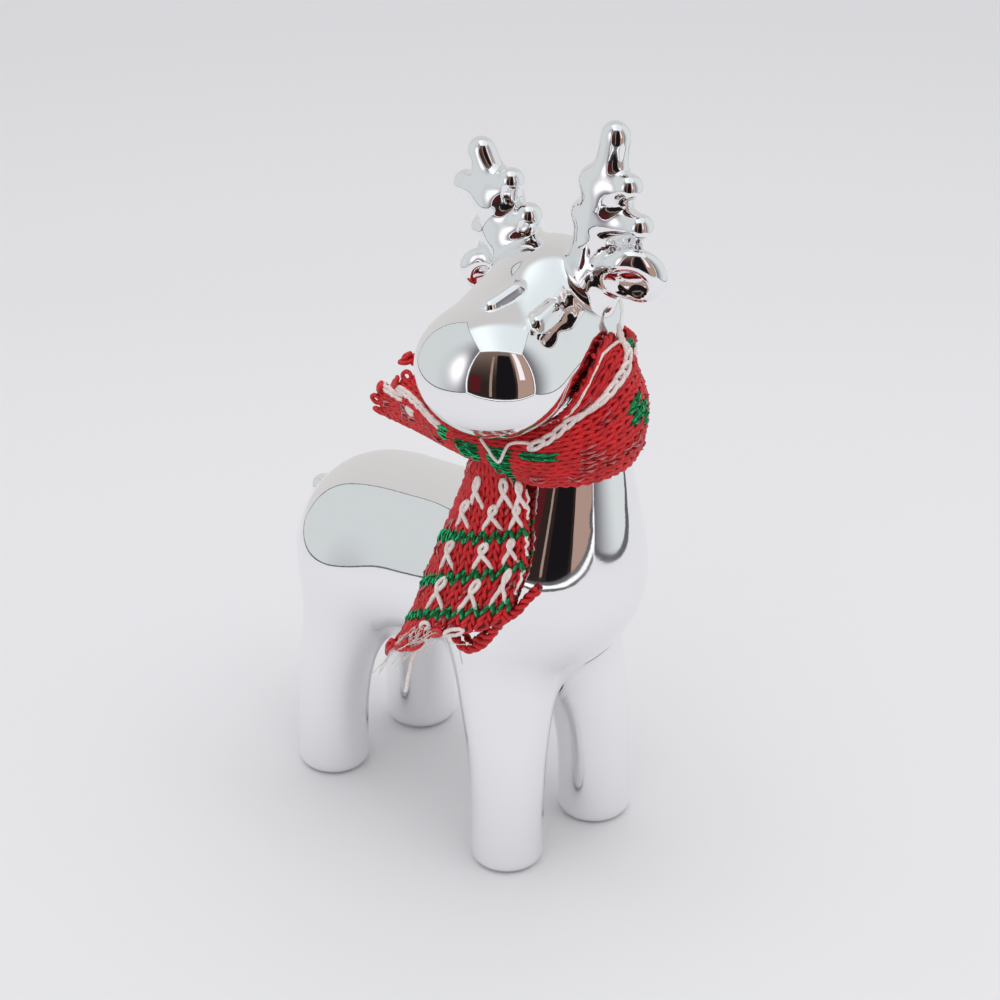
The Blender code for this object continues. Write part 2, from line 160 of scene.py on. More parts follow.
def limb(p, start, end, start_radius, end_radius, ease=0.12, flat=None, squash=1.0):
    """Distance to a tapered round limb, pressed flat along one direction where asked."""
    axis = end - start
    along = soft_limits(((p - start) @ axis) / (axis @ axis), ease)
    grow = along * along * (3 - 2 * along)
    off = p - (start + along[..., None] * axis)
    if flat is not None:
        off = off + ((1 / squash - 1) * (off @ flat))[..., None] * flat
    return length(off) - (start_radius + (end_radius - start_radius) * grow)


def post(p, foot, hip, hip_radius, bend=2.2):
    """Distance to a leg that stands upright and round, and leans in and widens only near its hip."""
    along = soft_limits((p[..., 2] - foot[2]) / (hip[2] - foot[2]), 0.05)
    grow = (along * along * (3 - 2 * along)) ** bend
    centre = foot + (hip - foot) * np.stack([grow, grow, along], -1)
    return length(p - centre) - (FOOT_RADIUS + (hip_radius - FOOT_RADIUS) * grow)


def egg(p, centre, radii, turn):
    q = (p - centre) @ turn
    inner = length(q / radii)
    return inner * (inner - 1) / np.maximum(length(q / radii ** 2), 1e-9)


def blend(a, b, fillet):
    """Join two forms with a fillet that keeps the curvature smooth."""
    near = np.maximum(fillet - np.abs(a - b), 0) / fillet
    return np.minimum(a, b) - near ** 3 * fillet / 6


def carve(a, b, fillet):
    """Cut form b out of form a."""
    return -blend(-a, b, fillet)


def unit(v):
    return v / np.linalg.norm(v)


def turned_axes(turn_deg, bow_deg, tilt_deg):
    """Columns: ahead, left and up of a head turned to the right, bowed and tilted."""
    turn, bow, tilt = np.radians([turn_deg, bow_deg, tilt_deg])
    ahead = np.array([-np.sin(turn) * np.cos(bow), -np.cos(turn) * np.cos(bow), -np.sin(bow)])
    side = np.array([np.cos(turn), -np.sin(turn), 0.0])
    left = side * np.cos(tilt) + np.cross(ahead, side) * np.sin(tilt)
    return np.stack([ahead, left, np.cross(ahead, left)], 1)


head_axes = turned_axes(HEAD_TURN_DEG, HEAD_BOW_DEG, HEAD_TILT_DEG)


def torso(p):
    d = limb(p, CHEST, RUMP, CHEST_RADIUS, RUMP_RADIUS, 0.2)
    d = blend(d, limb(p, NECK_BASE, NECK_TOP, NECK_BASE_RADIUS, NECK_TOP_RADIUS, 0.1), NECK_FILLET)
    ends = ((-1, FRONT_HIP_SETBACK, FRONT_HIP_RADIUS), (1, REAR_HIP_SETBACK, REAR_HIP_RADIUS))
    for end, setback, hip_radius in ends:
        for side in (-1, 1):
            foot = np.array((side * TRACK / 2, end * WHEELBASE / 2, FOOT_CENTRE_HEIGHT))
            hip = np.array((side * HIP_SPREAD / 2, end * (WHEELBASE / 2 - setback), HIP_HEIGHT))
            leg = carve(post(p, foot, hip, hip_radius), p[..., 2], SOLE_EDGE_ROUND)
            d = blend(d, leg, LEG_FILLET)
    return blend(d, limb(p, TAIL_ROOT, TAIL_TIP, TAIL_ROOT_RADIUS, TAIL_TIP_RADIUS), TAIL_FILLET)


def bare_head(p):
    skull = egg(p, SKULL, SKULL_RADII, head_axes)
    muzzle = egg(p, MUZZLE, MUZZLE_RADII, head_axes)
    d = blend(skull, muzzle, MUZZLE_FILLET)
    d = blend(d, egg(p, CHEEKS, CHEEK_RADII, head_axes), CHEEK_FILLET)
    return blend(d, egg(p, JAW, JAW_RADII, head_axes), CHEEK_FILLET)


def antler(p, root, tip, lobes):
    sideways = np.array((1.0, 0.0, 0.0))
    d = limb(p, root, tip, ANTLER_ROOT_RADIUS, ANTLER_TIP_RADIUS, 0.05, sideways, ANTLER_FLATTENING)
    axis = unit(tip - root)
    for lobe_tip in lobes:
        lobe_root = root + axis * ((lobe_tip - root) @ axis - LOBE_RISE)
        d = blend(d, limb(p, lobe_root, lobe_tip, LOBE_ROOT_RADIUS, LOBE_TIP_RADIUS, 0.1), LOBE_FILLET)
    return d


def ear(p, root, tip, radius):
    face = unit(head_axes[:, 0] + np.array((0, -0.35, 0.1)))
    leaf = limb(p, root, tip, EAR_ROOT_RADIUS, radius, 0.1, face, EAR_FLATTENING)
    out = unit(tip - root)
    scoop_root = tip - out * radius + face * SCOOP_SETBACK
    scoop_tip = tip - out * SCOOP_TIP_SETBACK + face * SCOOP_SETBACK
    scoop = limb(p, scoop_root, scoop_tip, SCOOP_ROOT_RADIUS, SCOOP_TIP_RADIUS, 0.2)
    return carve(leaf, scoop, SCOOP_FILLET)


def slope(p, form):
    step = 0.05 * MM
    out = np.empty_like(p)
    for k in range(3):
        shift = np.zeros(3)
        shift[k] = step
        out[:, k] = (form(p + shift) - form(p - shift)) / (2 * step)
    return out


def onto_surface(p, form, level=0.0, rounds=5, reach=0.7 * MM):
    """Pull points along the form's slope until they lie on its surface, or at a level above it."""
    for _ in range(rounds):
        g = slope(p, form)
        move = (form(p) - level)[:, None] * g / np.maximum((g * g).sum(1), 0.05)[:, None]
        p = p - move * np.minimum(1, reach / np.maximum(length(move), 1e-12))[:, None]
    return p


eye_ends = [onto_surface(np.array(ends), bare_head, -EYE_SINK) for ends in EYES]


def figure(p):
    """Signed distance to the whole casting, negative inside."""
    d = blend(torso(p), bare_head(p), HEAD_FILLET)
    for sizes in ANTLERS:
        d = blend(d, antler(p, **sizes), ANTLER_FILLET)
    for sizes in EARS:
        d = blend(d, ear(p, **sizes), EAR_FILLET)
    for lower, upper in eye_ends:
        d = blend(d, limb(p, lower, upper, EYE_RADIUS, EYE_RADIUS, 0.15), EYE_FILLET)
    return d


def mesh_points(mesh):
    points = np.empty(len(mesh.vertices) * 3, np.float32)
    mesh.vertices.foreach_get("co", points)
    return points.reshape(-1, 3).astype(float)


def settle(obj):
    """Make an object's evaluated mesh its own, and take its modifiers off."""
    evaluated = obj.evaluated_get(bpy.context.evaluated_depsgraph_get())
    mesh = bpy.data.meshes.new_from_object(evaluated)
    obj.modifiers.clear()
    obj.data = mesh
    mesh.name = obj.name


def new_piece(name, mesh):
    obj = bpy.data.objects.new(name, mesh)
    bpy.context.scene.collection.objects.link(obj)
    return obj


def place_of_casting(points):
    """Where the casting's own origin stands in the frame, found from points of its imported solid."""
    place = np.zeros(3)
    for _ in range(8):
        steps, *_ = np.linalg.lstsq(slope(points - place, figure), figure(points - place), rcond=None)
        place = place + steps
    return place


def add_node(tree, kind, inputs=(), **settings):
    """A new node with its settings, its inputs linked where a socket is given and set where a value is."""
    node = tree.nodes.new(kind)
    for name, value in settings.items():
        setattr(node, name, value)
    for key, value in dict(inputs).items():
        if isinstance(value, bpy.types.NodeSocket):
            tree.links.new(value, node.inputs[key])
        else:
            node.inputs[key].default_value = value
    return node


def silver_material():
    """Mirror silver over glaze, with its faint waves, fine orange peel and a breath of handling marks."""
    material = bpy.data.materials.new("electroplated silver")
    material.use_nodes = True
    tree = material.node_tree
    shader = tree.nodes["Principled BSDF"]
    place = add_node(tree, "ShaderNodeTexCoord").outputs["Object"]
    handling = add_node(tree, "ShaderNodeTexNoise", {"Vector": place, "Scale": 60.0, "Detail": 4.0})
    rough = add_node(tree, "ShaderNodeMapRange", {"Value": handling.outputs["Fac"], "From Min": 0.35,
                                                  "From Max": 0.75, "To Min": 0.02, "To Max": 0.07})
    waves = add_node(tree, "ShaderNodeTexNoise", {"Vector": place, "Scale": 130.0, "Detail": 1.0})
    peel = add_node(tree, "ShaderNodeTexNoise", {"Vector": place, "Scale": 1300.0, "Detail": 1.0})
    wavy = add_node(tree, "ShaderNodeBump", {"Height": waves.outputs["Fac"], "Distance": 0.03 * MM,
                                             "Strength": 1.0})
    peeled = add_node(tree, "ShaderNodeBump", {"Height": peel.outputs["Fac"], "Distance": 0.0015 * MM,
                                               "Strength": 1.0, "Normal": wavy.outputs["Normal"]})
    shader.inputs["Base Color"].default_value = SILVER
    shader.inputs["Metallic"].default_value = 1.0
    tree.links.new(rough.outputs["Result"], shader.inputs["Roughness"])
    tree.links.new(peeled.outputs["Normal"], shader.inputs["Normal"])
    return material


work = bmesh.new()
work.from_mesh(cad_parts["reindeer"].data)
bmesh.ops.remove_doubles(work, verts=work.verts, dist=0.001 * MM)
skin_mesh = bpy.data.meshes.new("reindeer_skin")
work.to_mesh(skin_mesh)
work.free()
casting_place = place_of_casting(mesh_points(skin_mesh))
skin = new_piece("reindeer_skin", skin_mesh)
even = skin.modifiers.new("Even mesh", "REMESH")
even.mode = "VOXEL"
even.voxel_size = SKIN_CELL
settle(skin)
points = onto_surface(mesh_points(skin.data) - casting_place, figure)
normals = slope(points, figure)
normals /= length(normals)[:, None]
points[:, 2] = np.maximum(points[:, 2], SOLE_GROUND_OFF)
skin.data.vertices.foreach_set("co", (points + casting_place).ravel())
skin.data.materials.clear()
skin.data.materials.append(silver_material())
skin.data.shade_smooth()
skin.data.normals_split_custom_set_from_vertices(normals.tolist())
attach(skin, "root")
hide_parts("reindeer")

# Scarf, ground: the fine fuzz and floats between the stitches of the one knitted strip, which is wound once
# round the neck. Its two ends hang free: one stands out behind the muzzle, one hangs over the right shoulder.
# The ground is a dark sheet whose darkness is painted shade, so that the gaps between the stitches look
# shadowed.
GROUND_THICKNESS = 0.5 * MM
SCARF_CLEARANCE = 0.2 * MM
KNIT_HALF_THICKNESS = 1.2 * MM
WRAP_AXIS = np.array((0.0, -30.0)) * MM
WRAP_RADIUS = 12.6 * MM
WRAP_OVERLAP_STEP = 2.6 * MM
WRAP_BULGE = 3.8 * MM
WRAP_LEAN = 5.4 * MM
WRAP_LOW_HEIGHT = 90.4 * MM
WRAP_HIGH_HEIGHT = 108.4 * MM
WRAP_TILT = 5.5 * MM
WRAP_TILT_DIRECTION_DEG = -15.0
WRAP_JAW_RISE = 3.0 * MM
WRAP_JAW_DIRECTION_DEG = -80.0
WRAP_JAW_SPREAD_DEG = 32.0
WRAP_START_DEG = -165
WRAP_END_DEG = 170
WRAP_STEP_DEG = 25
OVERLAP_END_DEG = -60
LOW_EDGE_TILT_SHARE = 0.1
SIDE_END = np.array((
    ((-15.5, 4.2, 90.6), (-11.0, 2.4, 103.5)),
    ((-17.6, -8.0, 92.2), (-13.5, -8.5, 103.5)),
    ((-17.6, -21.0, 91.8), (-16.6, -20.0, 101.0)),
)) * MM
HANGING_END = np.array((
    ((-15.0, -20.0, 89.5), (-14.0, -31.0, 95.0)),
    ((-15.8, -17.8, 84.0), (-14.2, -32.5, 87.0)),
    ((-17.1, -12.9, 71.4), (-14.6, -33.6, 79.7)),
    ((-18.6, -8.9, 59.2), (-16.2, -34.5, 72.9)),
    ((-19.2, -4.9, 49.4), (-18.6, -32.9, 64.2)),
    ((-19.6, -1.6, 43.4), (-19.4, -32.5, 61.2)),
)) * MM
COURSE_PITCH = 2.3 * MM
WALES = 10
MOST_WALES = WALES + 2
NECK_EDGE = ((18, 26, 2), (27, 29, 1))
NECK_EDGE_GAP = 0.9 * MM
ROWS_PER_STATION = 10
ROWS_PER_COURSE = 4
COLUMNS_PER_WALE = 2
TWIST_PITCH = 1.6 * MM


def smooth_path(stations, rows_per_station):
    """Catmull-Rom curve through a list of stations, each a small array of points."""
    stations = np.array(stations)
    padded = np.concatenate([2 * stations[:1] - stations[1:2], stations, 2 * stations[-1:] - stations[-2:-1]])
    rows = []
    for i in range(len(stations) - 1):
        a, b, c, d = padded[i:i + 4]
        for t in np.arange(rows_per_station) / rows_per_station:
            rows.append(0.5 * (2 * b + (c - a) * t + (2 * a - 5 * b + 4 * c - d) * t ** 2
                               + (3 * b - a - 3 * c + d) * t ** 3))
    rows.append(stations[-1])
    return np.array(rows)


def wrap_stations():
    """Lower and upper edge of the strip round the neck, from over the crossing to under it."""
    stations = []
    for angle_deg in range(WRAP_START_DEG, WRAP_END_DEG + 1, WRAP_STEP_DEG):
        angle = np.radians(angle_deg)
        over = np.clip((OVERLAP_END_DEG - angle_deg) / (OVERLAP_END_DEG - WRAP_START_DEG), 0, 1)
        radius = WRAP_RADIUS + WRAP_OVERLAP_STEP * over
        lift = WRAP_TILT * np.cos(angle - np.radians(WRAP_TILT_DIRECTION_DEG))
        rise = WRAP_JAW_RISE * np.exp(-((angle_deg - WRAP_JAW_DIRECTION_DEG) / WRAP_JAW_SPREAD_DEG) ** 2)
        outward = np.array((np.cos(angle), np.sin(angle)))
        low = np.append(WRAP_AXIS + radius * outward, WRAP_LOW_HEIGHT + LOW_EDGE_TILT_SHARE * lift)
        high = np.append(WRAP_AXIS + (radius - WRAP_LEAN) * outward, WRAP_HIGH_HEIGHT + lift + rise)
        stations.append((low, high))
    return stations


def out_of_surface(p, form, clearance, rounds=6):
    """Move only the points that lie closer to the form than the clearance."""
    for _ in range(rounds):
        d = form(p)
        close = d < clearance
        if not close.any():
            break
        g = slope(p[close], form)
        g = g / np.maximum(length(g), 0.2)[:, None]
        p[close] += g * (clearance - d[close])[:, None]
    return p


def strip_surface():
    """Middle surface of the strip, as rows along it and columns from its lower to its upper edge."""
    rows = smooth_path([*SIDE_END, *wrap_stations(), *HANGING_END], ROWS_PER_STATION)
    across = np.linspace(0, 1, WALES * COLUMNS_PER_WALE + 1)
    grid = rows[:, 0, None] * (1 - across)[None, :, None] + rows[:, 1, None] * across[None, :, None]
    outward = grid - np.append(WRAP_AXIS, 0)
    outward[..., 2] = 0
    outward /= length(outward)[..., None]
    grid = grid + outward * (WRAP_BULGE * (1 - (2 * across - 1) ** 2))[None, :, None]
    clear = out_of_surface(grid.reshape(-1, 3), figure, SCARF_CLEARANCE + KNIT_HALF_THICKNESS)
    return clear.reshape(grid.shape)


def even_rows(grid, row_pitch):
    """The same surface with its rows spaced evenly along its middle."""
    steps = length(np.diff(grid[:, grid.shape[1] // 2], axis=0))
    run = np.append(0, np.cumsum(steps))
    count = int(round(run[-1] / row_pitch))
    place = np.interp(np.linspace(0, run[-1], count + 1), run, np.arange(len(run)))
    row = np.minimum(place.astype(int), len(run) - 2)
    part = (place - row)[:, None, None]
    return grid[row] * (1 - part) + grid[row + 1] * part


def with_neck_edge(grid):
    """Carry the surface on past its upper edge. Its added wales under the jaw lie close on the head."""
    steps = np.arange(1, (MOST_WALES - WALES) * COLUMNS_PER_WALE + 1)[None, :, None]
    added = grid[:, -1:] + (grid[:, -1:] - grid[:, -2:-1]) * steps
    under_jaw = slice(NECK_EDGE[0][0] * ROWS_PER_COURSE, (NECK_EDGE[-1][1] + 1) * ROWS_PER_COURSE + 1)
    close = onto_surface(added[under_jaw].reshape(-1, 3), figure, NECK_EDGE_GAP, rounds=8)
    added[under_jaw] = close.reshape(added[under_jaw].shape)
    return np.concatenate([grid, added], axis=1)


strip = with_neck_edge(even_rows(strip_surface(), COURSE_PITCH / ROWS_PER_COURSE))
COURSES = (len(strip) - 1) // ROWS_PER_COURSE
strip_along = np.gradient(strip, axis=0) * ROWS_PER_COURSE
strip_across = np.gradient(strip, axis=1) * COLUMNS_PER_WALE
strip_out = np.cross(strip_along, strip_across)
strip_out /= length(strip_out)[..., None]


def sample(field, course, wale):
    """Read one of the strip's grids at a place counted in courses along it and wales across it."""
    i = np.clip(np.asarray(course, float) * ROWS_PER_COURSE, 0, len(strip) - 1.001)
    j = np.clip(np.asarray(wale, float) * COLUMNS_PER_WALE, 0, strip.shape[1] - 1.001)
    i0, j0 = i.astype(int), j.astype(int)
    s, t = (i - i0)[..., None], (j - j0)[..., None]
    near = field[i0, j0] * (1 - t) + field[i0, j0 + 1] * t
    far = field[i0 + 1, j0] * (1 - t) + field[i0 + 1, j0 + 1] * t
    return near * (1 - s) + far * s


def on_strip(course, wale, lift=0.0):
    """A place on the strip, or straight on past its ends, lifted off its middle surface."""
    course, wale, lift = np.broadcast_arrays(np.asarray(course, float), wale, lift)
    inside = np.clip(course, 0, COURSES), np.clip(wale, 0, MOST_WALES)
    place = sample(strip, *inside) + sample(strip_out, *inside) * lift[..., None]
    place = place + sample(strip_along, *inside) * (course - inside[0])[..., None]
    return place + sample(strip_across, *inside) * (wale - inside[1])[..., None] + casting_place


def grid_faces(rows, columns):
    return [(i * columns + j, i * columns + j + 1, (i + 1) * columns + j + 1, (i + 1) * columns + j)
            for i in range(rows - 1) for j in range(columns - 1)]


def mix_colour(tree, factor, a, b):
    """Mix two colours; each is a plain colour or a socket."""
    node = add_node(tree, "ShaderNodeMix", data_type="RGBA")
    sockets = {socket.identifier: socket for socket in node.inputs}
    tree.links.new(factor, sockets["Factor_Float"])
    for key, value in (("A_Color", a), ("B_Color", b)):
        if isinstance(value, bpy.types.NodeSocket):
            tree.links.new(value, sockets[key])
        else:
            sockets[key].default_value = (*value, 1.0)
    return next(socket for socket in node.outputs if socket.identifier == "Result_Color")


def yarn_material(name, colour, shade, roughness, sheen):
    """Spun yarn: two twisted plies and fine fibres as bump, painted shade between the plies, uneven in
    colour.
    """
    material = bpy.data.materials.new(name)
    material.use_nodes = True
    tree = material.node_tree
    shader = tree.nodes["Principled BSDF"]
    place = add_node(tree, "ShaderNodeTexCoord").outputs["Object"]
    ply = add_node(tree, "ShaderNodeAttribute", attribute_name="ply")
    ring = add_node(tree, "ShaderNodeSeparateXYZ", {"Vector": ply.outputs["Vector"]})
    turn = add_node(tree, "ShaderNodeMath", {0: ring.outputs["Y"], 1: ring.outputs["X"]}, operation="ARCTAN2")
    phase = add_node(tree, "ShaderNodeMath", {0: ring.outputs["Z"], 1: 2 * np.pi / TWIST_PITCH,
                                              2: turn.outputs[0]}, operation="MULTIPLY_ADD")
    doubled = add_node(tree, "ShaderNodeMath", {0: phase.outputs[0], 1: 2.0}, operation="MULTIPLY")
    plies = add_node(tree, "ShaderNodeMath", {0: doubled.outputs[0]}, operation="SINE")
    fibres = add_node(tree, "ShaderNodeTexNoise", {"Vector": place, "Scale": 3200.0, "Detail": 3.0})
    uneven = add_node(tree, "ShaderNodeTexNoise", {"Vector": place, "Scale": 420.0, "Detail": 2.0})
    height = add_node(tree, "ShaderNodeMath", {0: plies.outputs[0], 1: 0.3, 2: fibres.outputs["Fac"]},
                      operation="MULTIPLY_ADD")
    bump = add_node(tree, "ShaderNodeBump", {"Height": height.outputs[0], "Distance": 0.04 * MM})
    # The colour runs towards the shade colour in the grooves between the plies, as painted shade, and at
    # random where the yarn is uneven in colour.
    light = add_node(tree, "ShaderNodeMath", {0: plies.outputs[0], 1: 0.1, 2: uneven.outputs["Fac"]},
                     operation="MULTIPLY_ADD")
    tone = add_node(tree, "ShaderNodeMapRange", {"Value": light.outputs[0], "From Min": 0.15,
                                                 "From Max": 0.7})
    tree.links.new(mix_colour(tree, tone.outputs["Result"], shade, colour), shader.inputs["Base Color"])
    tree.links.new(bump.outputs["Normal"], shader.inputs["Normal"])
    shader.inputs["Roughness"].default_value = roughness
    shader.inputs["Sheen Weight"].default_value = sheen
    shader.inputs["Sheen Roughness"].default_value = 0.4
    return material


SIDE_END_STARTS = (0, 0, 0, 0, 1, 2, 3, 4, 4, 1)
# The ground's red is the fuzz's red, darkened as painted shade for the shadowed gaps between the stitches.
SHADED_FUZZ = (0.2, 0.003, 0.005)
FUZZ_SHADE = (0.04, 0.001, 0.0015)


def knitted(course, wale):
    """Whether the knitting has a stitch there: it is ragged at the side end, and wider under the jaw."""
    edge = WALES + sum(extra for first, last, extra in NECK_EDGE if first <= course <= last)
    return wale < edge and (wale >= WALES or course >= SIDE_END_STARTS[wale])


rows, columns = strip.shape[:2]
ground_faces = []
for face in grid_faces(rows, columns):
    row, column = divmod(face[0], columns)
    if knitted(row // ROWS_PER_COURSE, column // COLUMNS_PER_WALE):
        ground_faces.append(face)
ground_mesh = bpy.data.meshes.new("scarf_ground")
ground_mesh.from_pydata((strip + casting_place).reshape(-1, 3).tolist(), [], ground_faces)
ground_mesh.materials.append(yarn_material("red fuzz in painted shade", SHADED_FUZZ, FUZZ_SHADE, 0.9, 0.3))
ground_mesh.shade_smooth()
work = bmesh.new()
work.from_mesh(ground_mesh)
bmesh.ops.delete(work, geom=[vert for vert in work.verts if not vert.link_faces], context="VERTS")
work.to_mesh(ground_mesh)
work.free()
ground = new_piece("scarf_ground", ground_mesh)
thick = ground.modifiers.new("Thickness", "SOLIDIFY")
thick.thickness = GROUND_THICKNESS
thick.offset = 0.0
settle(ground)
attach(ground, "root")
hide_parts("scarf")

# Scarf, knitting: plain stitches in courses across the strip, each course one yarn that is looped through the
# course before it. Green yarn makes three bands and a few patches, and white yarn shows in single stitches.
# A patch is its colour, its first and last course, and its first and last wale.
LOOP_HEIGHT = 1.9
LOOP_OVERLAP = 0.25
LOOP_DEPTH = 0.5 * MM
YARN_RADIUS = 0.45 * MM
YARN_SIDES = 6
YARN_STEP = 0.17 * MM
YARN_UNEVENNESS = 0.42 * MM
RED = (0.74, 0.006, 0.012)
RED_SHADE = (0.4, 0.002, 0.004)
GREEN = (0.006, 0.2, 0.045)
GREEN_SHADE = (0.003, 0.07, 0.018)
WHITE = (0.95, 0.85, 0.81)
WHITE_SHADE = (0.74, 0.6, 0.57)
STITCH_PATCHES = (
    ("green", 10, 10, 4, 5), ("green", 12, 13, 2, 4), ("green", 15, 16, 0, 4), ("green", 18, 20, 4, 4),
    ("green", 28, 29, 4, 5), ("green", 30, 30, 3, 4), ("green", 30, 31, 9, 9),
    ("green", 64, 64, 0, 9), ("green", 68, 68, 0, 9), ("green", 72, 72, 0, 9),
    ("white", 1, 3, 4, 4), ("white", 3, 10, 5, 5), ("white", 5, 5, 3, 3), ("white", 32, 33, 8, 8),
)
red_yarn = yarn_material("red yarn", RED, RED_SHADE, 0.45, 0.03)
green_yarn = yarn_material("green yarn", GREEN, GREEN_SHADE, 0.4, 0.03)
white_yarn = yarn_material("white yarn", WHITE, WHITE_SHADE, 0.5, 0.1)


def new_tree(name, sizes):
    """A geometry node tree with named inputs, and its input node."""
    tree = bpy.data.node_groups.new(name, "GeometryNodeTree")
    tree.interface.new_socket(name="Geometry", in_out="INPUT", socket_type="NodeSocketGeometry")
    for size_name, kind in sizes:
        tree.interface.new_socket(name=size_name, in_out="INPUT", socket_type=kind)
    tree.interface.new_socket(name="Geometry", in_out="OUTPUT", socket_type="NodeSocketGeometry")
    return tree, add_node(tree, "NodeGroupInput").outputs


def yarn_tree():
    """Turns each chain of edges into yarn, looped into stitches where its points have a wale number."""
    tree, size = new_tree("Yarn", (
        ("Radius", "NodeSocketFloat"), ("Sides", "NodeSocketInt"), ("Flatness", "NodeSocketFloat"),
        ("Twist", "NodeSocketFloat"), ("Step", "NodeSocketFloat"), ("Unevenness", "NodeSocketFloat"),
        ("Loop height", "NodeSocketFloat"), ("Loop overlap", "NodeSocketFloat"),
        ("Loop depth", "NodeSocketFloat"), ("Material", "NodeSocketMaterial")))

    def attribute(name, kind="FLOAT_VECTOR"):
        return add_node(tree, "GeometryNodeInputNamedAttribute", {"Name": name}, data_type=kind).outputs[0]

    def maths(operation, a, b=0.0):
        return add_node(tree, "ShaderNodeMath", {0: a, 1: b}, operation=operation).outputs[0]

    def scaled(vector, factor):
        return add_node(tree, "ShaderNodeVectorMath", {0: vector, "Scale": factor},
                        operation="SCALE").outputs[0]

    def added(a, b):
        return add_node(tree, "ShaderNodeVectorMath", {0: a, 1: b}, operation="ADD").outputs[0]

    curve = add_node(tree, "GeometryNodeMeshToCurve", {"Mesh": size["Geometry"]}).outputs["Curve"]
    smooth = add_node(tree, "GeometryNodeCurveSplineType", {"Curve": curve}, spline_type="CATMULL_ROM")
    fine = add_node(tree, "GeometryNodeResampleCurve", {"Curve": smooth.outputs["Curve"],
                                                       "Length": size["Step"]}, mode="LENGTH")
    turn = maths("MULTIPLY", attribute("wale", "FLOAT"), 2 * np.pi)
    double_turn = maths("MULTIPLY", turn, 2.0)
    up = maths("MULTIPLY", maths("COSINE", turn), maths("MULTIPLY", size["Loop height"], -0.5))
    aside = maths("MULTIPLY", maths("SINE", double_turn), size["Loop overlap"])
    out = maths("MULTIPLY", maths("COSINE", double_turn), maths("MULTIPLY", size["Loop depth"], -1.0))
    loop = added(added(scaled(attribute("along"), up), scaled(attribute("across"), aside)),
                 scaled(attribute("out"), out))
    looped = add_node(tree, "GeometryNodeSetPosition", {"Geometry": fine.outputs["Curve"], "Offset": loop})
    place = add_node(tree, "GeometryNodeInputPosition").outputs[0]
    noise = add_node(tree, "ShaderNodeTexNoise", {"Vector": place, "Scale": 500.0, "Detail": 1.0})
    sway = add_node(tree, "ShaderNodeVectorMath", {0: noise.outputs["Color"], 1: (0.5, 0.5, 0.5)},
                    operation="SUBTRACT")
    swayed = add_node(tree, "GeometryNodeSetPosition", {
        "Geometry": looped.outputs["Geometry"], "Offset": scaled(sway.outputs[0], size["Unevenness"])})
    run = add_node(tree, "GeometryNodeSplineParameter").outputs["Length"]
    twisted = add_node(tree, "GeometryNodeSetCurveTilt", {"Curve": swayed.outputs["Geometry"],
                                                         "Tilt": maths("MULTIPLY", run, size["Twist"])})
    held_run = add_node(tree, "GeometryNodeCaptureAttribute", {"Geometry": twisted.outputs["Curve"]})
    held_run.capture_items.new("FLOAT", "Run")
    tree.links.new(run, held_run.inputs["Run"])
    circle = add_node(tree, "GeometryNodeCurvePrimitiveCircle", {"Resolution": size["Sides"],
                                                                "Radius": size["Radius"]})
    held_round = add_node(tree, "GeometryNodeCaptureAttribute", {"Geometry": circle.outputs["Curve"]})
    held_round.capture_items.new("VECTOR", "Round")
    tree.links.new(place, held_round.inputs["Round"])
    shape = add_node(tree, "ShaderNodeCombineXYZ", {"X": 1.0, "Y": size["Flatness"], "Z": 1.0})
    pressed = add_node(tree, "GeometryNodeTransform", {"Geometry": held_round.outputs["Geometry"],
                                                      "Scale": shape.outputs[0]})
    tube = add_node(tree, "GeometryNodeCurveToMesh", {
        "Curve": held_run.outputs["Geometry"], "Profile Curve": pressed.outputs["Geometry"],
        "Fill Caps": True})
    rounds = add_node(tree, "ShaderNodeSeparateXYZ", {"Vector": held_round.outputs["Round"]})
    ply = add_node(tree, "ShaderNodeCombineXYZ", {
        "X": maths("DIVIDE", rounds.outputs["X"], size["Radius"]),
        "Y": maths("DIVIDE", rounds.outputs["Y"], size["Radius"]), "Z": held_run.outputs["Run"]})
    marked = add_node(tree, "GeometryNodeStoreNamedAttribute", {
        "Geometry": tube.outputs["Mesh"], "Name": "ply"}, data_type="FLOAT_VECTOR", domain="POINT")
    tree.links.new(ply.outputs[0], marked.inputs["Value"])
    smoothed = add_node(tree, "GeometryNodeSetShadeSmooth", {"Geometry": marked.outputs["Geometry"]})
    real = add_node(tree, "GeometryNodeRealizeInstances", {"Geometry": smoothed.outputs["Geometry"]})
    finished = add_node(tree, "GeometryNodeSetMaterial", {"Geometry": real.outputs["Geometry"],
                                                         "Material": size["Material"]})
    add_node(tree, "NodeGroupOutput", {"Geometry": finished.outputs["Geometry"]})
    return tree


yarn_nodes = yarn_tree()


